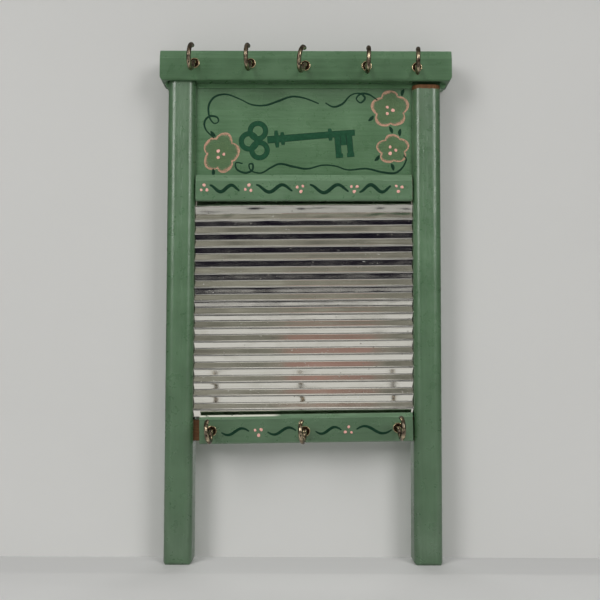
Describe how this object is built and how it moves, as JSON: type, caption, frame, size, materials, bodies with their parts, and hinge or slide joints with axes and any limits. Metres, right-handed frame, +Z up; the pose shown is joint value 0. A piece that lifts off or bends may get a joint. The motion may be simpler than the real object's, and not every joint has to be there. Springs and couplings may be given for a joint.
{
  "type": "washboard key rack",
  "caption": "Small painted wooden washboard with a corrugated tin rub plate, fitted with screw-in brass cup hooks on its head and bottom rails for hanging keys.",
  "frame": {"origin": "middle of the object's overall width and depth, hooks and hanger included, at the level of the feet", "axes": "+X to the right seen from the front, -Y out of the front where the hooks are, +Z up"},
  "size_m": [0.177, 0.0432, 0.309],
  "materials": {
    "frame_paint": "satin brushed green paint over wood, bare at the slipped joints",
    "tin": "dulled bright tinplate with scuffs",
    "steel": "plain zinc-plated steel",
    "brass": "aged brass plate, dark brown with bright worn spots"
  },
  "bodies": {
    "frame": {"head_rail": "frame_paint", "left_post": "frame_paint", "right_post": "frame_paint", "headboard": "frame_paint", "mid_rail": "frame_paint", "bottom_rail": "frame_paint", "rub_plate": "tin", "frame_nails": "steel", "hanger": "steel", "hanger_nails": "steel"},
    "collar_top_1": {"collar_top_1": "brass"},
    "hook_top_1": {"hook_top_1": "brass"},
    "collar_top_2": {"collar_top_2": "brass"},
    "hook_top_2": {"hook_top_2": "brass"},
    "collar_top_3": {"collar_top_3": "brass"},
    "hook_top_3": {"hook_top_3": "brass"},
    "collar_top_4": {"collar_top_4": "brass"},
    "hook_top_4": {"hook_top_4": "brass"},
    "collar_top_5": {"collar_top_5": "brass"},
    "hook_top_5": {"hook_top_5": "brass"},
    "collar_low_1": {"collar_low_1": "brass"},
    "hook_low_1": {"hook_low_1": "brass"},
    "collar_low_2": {"collar_low_2": "brass"},
    "hook_low_2": {"hook_low_2": "brass"},
    "collar_low_3": {"collar_low_3": "brass"},
    "hook_low_3": {"hook_low_3": "brass"}
  },
  "joints": [
    {"name": "draw_top_1", "type": "slide", "parent": "frame", "child": "collar_top_1", "axis": [0, -1, 0], "range_m": [0, 0.01]},
    {"name": "turn_top_1", "type": "hinge", "parent": "collar_top_1", "child": "hook_top_1", "pos_m": [-0.0674, -0.00217, 0.3003], "axis": [0, -1, 0], "range_deg": [0, 2881]},
    {"name": "draw_top_2", "type": "slide", "parent": "frame", "child": "collar_top_2", "axis": [0, -1, 0], "range_m": [0, 0.01]},
    {"name": "turn_top_2", "type": "hinge", "parent": "collar_top_2", "child": "hook_top_2", "pos_m": [-0.0334, -0.00217, 0.3001], "axis": [0, -1, 0], "range_deg": [0, 2881]},
    {"name": "draw_top_3", "type": "slide", "parent": "frame", "child": "collar_top_3", "axis": [0, -1, 0], "range_m": [0, 0.01]},
    {"name": "turn_top_3", "type": "hinge", "parent": "collar_top_3", "child": "hook_top_3", "pos_m": [-0.0003, -0.00217, 0.2988], "axis": [0, -1, 0], "range_deg": [0, 2881]},
    {"name": "draw_top_4", "type": "slide", "parent": "frame", "child": "collar_top_4", "axis": [0, -1, 0], "range_m": [0, 0.01]},
    {"name": "turn_top_4", "type": "hinge", "parent": "collar_top_4", "child": "hook_top_4", "pos_m": [0.0368, -0.00217, 0.2987], "axis": [0, -1, 0], "range_deg": [0, 2881]},
    {"name": "draw_top_5", "type": "slide", "parent": "frame", "child": "collar_top_5", "axis": [0, -1, 0], "range_m": [0, 0.01]},
    {"name": "turn_top_5", "type": "hinge", "parent": "collar_top_5", "child": "hook_top_5", "pos_m": [0.0672, -0.00217, 0.298], "axis": [0, -1, 0], "range_deg": [0, 2881]},
    {"name": "draw_low_1", "type": "slide", "parent": "frame", "child": "collar_low_1", "axis": [0, -1, 0], "range_m": [0, 0.01]},
    {"name": "turn_low_1", "type": "hinge", "parent": "collar_low_1", "child": "hook_low_1", "pos_m": [-0.0555, 0.00103, 0.0787], "axis": [0, -1, 0], "range_deg": [0, 2881]},
    {"name": "draw_low_2", "type": "slide", "parent": "frame", "child": "collar_low_2", "axis": [0, -1, 0], "range_m": [0, 0.01]},
    {"name": "turn_low_2", "type": "hinge", "parent": "collar_low_2", "child": "hook_low_2", "pos_m": [0.0001, 0.00103, 0.0788], "axis": [0, -1, 0], "range_deg": [0, 2881]},
    {"name": "draw_low_3", "type": "slide", "parent": "frame", "child": "collar_low_3", "axis": [0, -1, 0], "range_m": [0, 0.01]},
    {"name": "turn_low_3", "type": "hinge", "parent": "collar_low_3", "child": "hook_low_3", "pos_m": [0.0556, 0.00103, 0.0809], "axis": [0, -1, 0], "range_deg": [0, 2881]}
  ],
  "couplings": [
    {"joint": "turn_top_1", "follows": "draw_top_1", "rad_per_m": 5026.5},
    {"joint": "turn_top_2", "follows": "draw_top_2", "rad_per_m": 5026.5},
    {"joint": "turn_top_3", "follows": "draw_top_3", "rad_per_m": 5026.5},
    {"joint": "turn_top_4", "follows": "draw_top_4", "rad_per_m": 5026.5},
    {"joint": "turn_top_5", "follows": "draw_top_5", "rad_per_m": 5026.5},
    {"joint": "turn_low_1", "follows": "draw_low_1", "rad_per_m": 5026.5},
    {"joint": "turn_low_2", "follows": "draw_low_2", "rad_per_m": 5026.5},
    {"joint": "turn_low_3", "follows": "draw_low_3", "rad_per_m": 5026.5}
  ]
}
